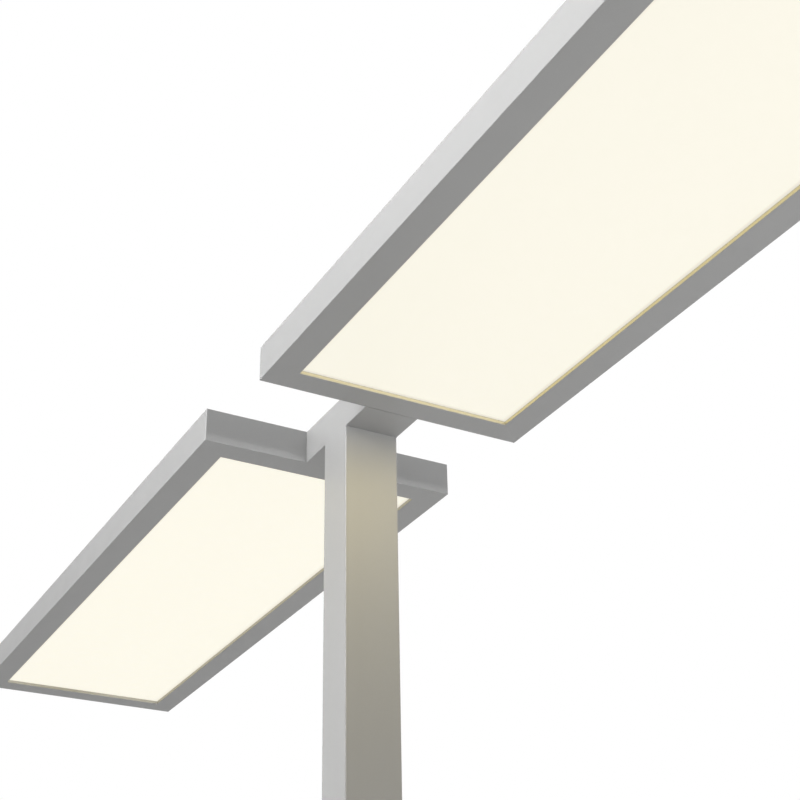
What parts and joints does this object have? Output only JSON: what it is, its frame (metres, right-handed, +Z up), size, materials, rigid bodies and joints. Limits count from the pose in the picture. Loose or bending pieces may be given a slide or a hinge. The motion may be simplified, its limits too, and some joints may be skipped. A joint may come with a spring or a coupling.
{
  "type": "floor lamp",
  "caption": "Floor lamp: a rectangular post on a flat plate carries a short beam with a flat rectangular lighting head at each end, lit from below.",
  "frame": {"origin": "on the floor, under the middle of the post", "axes": "+Z up, X along the two heads, -Y the side that the control faces"},
  "size_m": [1.9, 0.36, 1.95],
  "materials": {
    "frame_finish": "satin silver-grey paint",
    "base_finish": "satin silver-grey paint",
    "white_sheet": "white reflective paint",
    "plain_aluminium": "milled, bare",
    "screws": "zinc plated",
    "glide_rubber": "matte black",
    "opal_diffuser": "opal acrylic, lit warm white",
    "clear_guide": "clear acrylic",
    "film": "white film",
    "boards": "white circuit board",
    "supply_case": "moulded case",
    "terminal": "moulded nylon",
    "cable_sheath": "light grey sheath",
    "control_plastic": "fine textured, dark grey",
    "button_plastic": "fine textured, light grey",
    "inlet_plastic": "moulded black",
    "pins": "nickel plated"
  },
  "bodies": {
    "stand": {"base_plate": "base_finish", "glides": "glide_rubber", "foot_block": "plain_aluminium", "foot_screws": "screws", "post_tube": "frame_finish", "neck_block": "plain_aluminium", "post_set_screws": "screws", "control_bezel": "control_plastic", "control_board": "boards", "inlet_housing": "inlet_plastic", "inlet_pins": "pins", "inlet_screws": "screws", "beam_channel": "frame_finish", "beam_end_plates": "plain_aluminium", "beam_lid": "frame_finish", "beam_lid_screws": "screws", "neck_bolts": "screws", "terminal_block": "terminal", "post_cable": "cable_sheath", "control_cable": "cable_sheath", "right_front_rail": "frame_finish", "right_back_rail": "frame_finish", "right_inner_rail": "frame_finish", "right_outer_rail": "frame_finish", "right_corner_keys": "plain_aluminium", "right_diffuser": "opal_diffuser", "right_light_guide": "clear_guide", "right_reflector_film": "film", "right_backing_tray": "white_sheet", "right_light_boards": "boards", "right_uplight_trough": "white_sheet", "right_uplight_lens": "opal_diffuser", "right_top_cover": "frame_finish", "right_standoffs": "screws", "right_cover_screws": "screws", "right_driver": "supply_case", "right_anchor_plate": "plain_aluminium", "right_head_bolts": "screws", "right_wiring": "cable_sheath", "left_front_rail": "frame_finish", "left_back_rail": "frame_finish", "left_inner_rail": "frame_finish", "left_outer_rail": "frame_finish", "left_corner_keys": "plain_aluminium", "left_diffuser": "opal_diffuser", "left_light_guide": "clear_guide", "left_reflector_film": "film", "left_backing_tray": "white_sheet", "left_light_boards": "boards", "left_uplight_trough": "white_sheet", "left_uplight_lens": "opal_diffuser", "left_top_cover": "frame_finish", "left_standoffs": "screws", "left_cover_screws": "screws", "left_driver": "supply_case", "left_anchor_plate": "plain_aluminium", "left_head_bolts": "screws", "left_wiring": "cable_sheath"},
    "brighter_button": {"brighter_button": "button_plastic"},
    "dimmer_button": {"dimmer_button": "button_plastic"}
  },
  "joints": [
    {"name": "brighter_button_press", "type": "slide", "parent": "stand", "child": "brighter_button", "axis": [0, 1, 0], "range_m": [0, 0.001], "stiffness_N_per_m": 800},
    {"name": "dimmer_button_press", "type": "slide", "parent": "stand", "child": "dimmer_button", "axis": [0, 1, 0], "range_m": [0, 0.001], "stiffness_N_per_m": 800}
  ]
}
